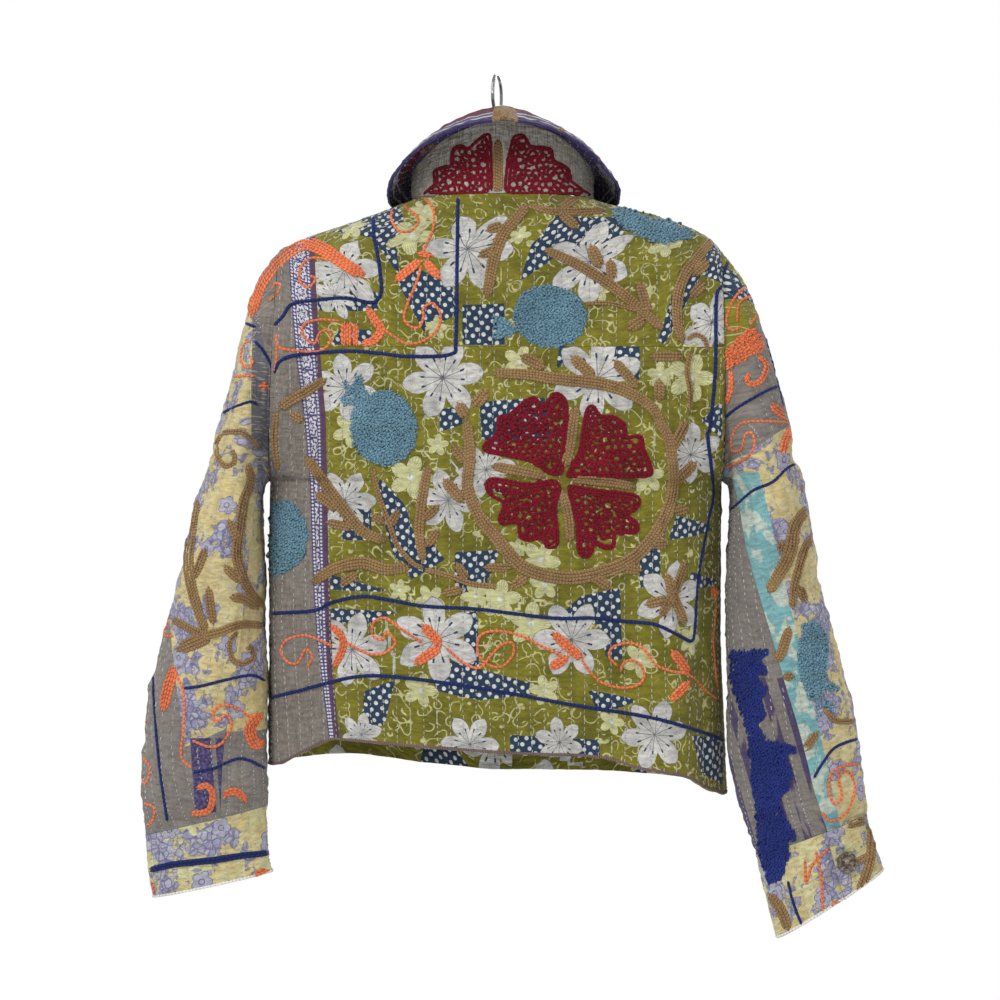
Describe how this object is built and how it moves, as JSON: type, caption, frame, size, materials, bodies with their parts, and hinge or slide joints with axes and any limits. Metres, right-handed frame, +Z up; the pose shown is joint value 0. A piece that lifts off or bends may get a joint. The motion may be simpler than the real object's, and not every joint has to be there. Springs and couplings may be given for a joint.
{
  "type": "kantha jacket on a hanger",
  "caption": "Cropped kantha jacket in quilted patchwork with embroidered flowers and branches, on a hanger.",
  "frame": {"origin": "inside top of the hanger's hook, where the rail carries it", "axes": "+Z up; the jacket's back faces -Y and its fronts +Y; the wearer's right is +X"},
  "size_m": [0.6898, 0.1889, 0.808],
  "materials": {
    "print_olive": "quilted cotton, olive print with white lilies and navy dots",
    "print_navy": "quilted cotton, patchwork of navy dots, taupe and yellow prints",
    "print_yellow": "quilted cotton, pale yellow print with lavender flowers",
    "cloth_taupe": "quilted cotton, taupe with white running stitch",
    "cloth_collar": "quilted cotton, taupe and purple with dark red embroidery",
    "button_metal": "aged dark metal",
    "hanger_black": "satin",
    "hook_steel": "bright"
  },
  "bodies": {
    "root": {"back_yoke": "print_olive", "back_panel": "print_olive", "left_front": "print_navy", "right_front": "print_navy", "left_top_sleeve": "print_yellow", "left_under_sleeve": "cloth_taupe", "right_top_sleeve": "print_yellow", "right_under_sleeve": "cloth_taupe", "left_cuff": "print_yellow", "right_cuff": "print_yellow", "collar": "cloth_collar", "left_cuff_button": "button_metal", "right_cuff_button": "button_metal", "front_button_1": "button_metal", "front_button_2": "button_metal", "front_button_3": "button_metal", "front_button_4": "button_metal", "front_button_5": "button_metal", "hanger_body": "hanger_black", "hanger_hook": "hook_steel"}
  },
  "joints": []
}
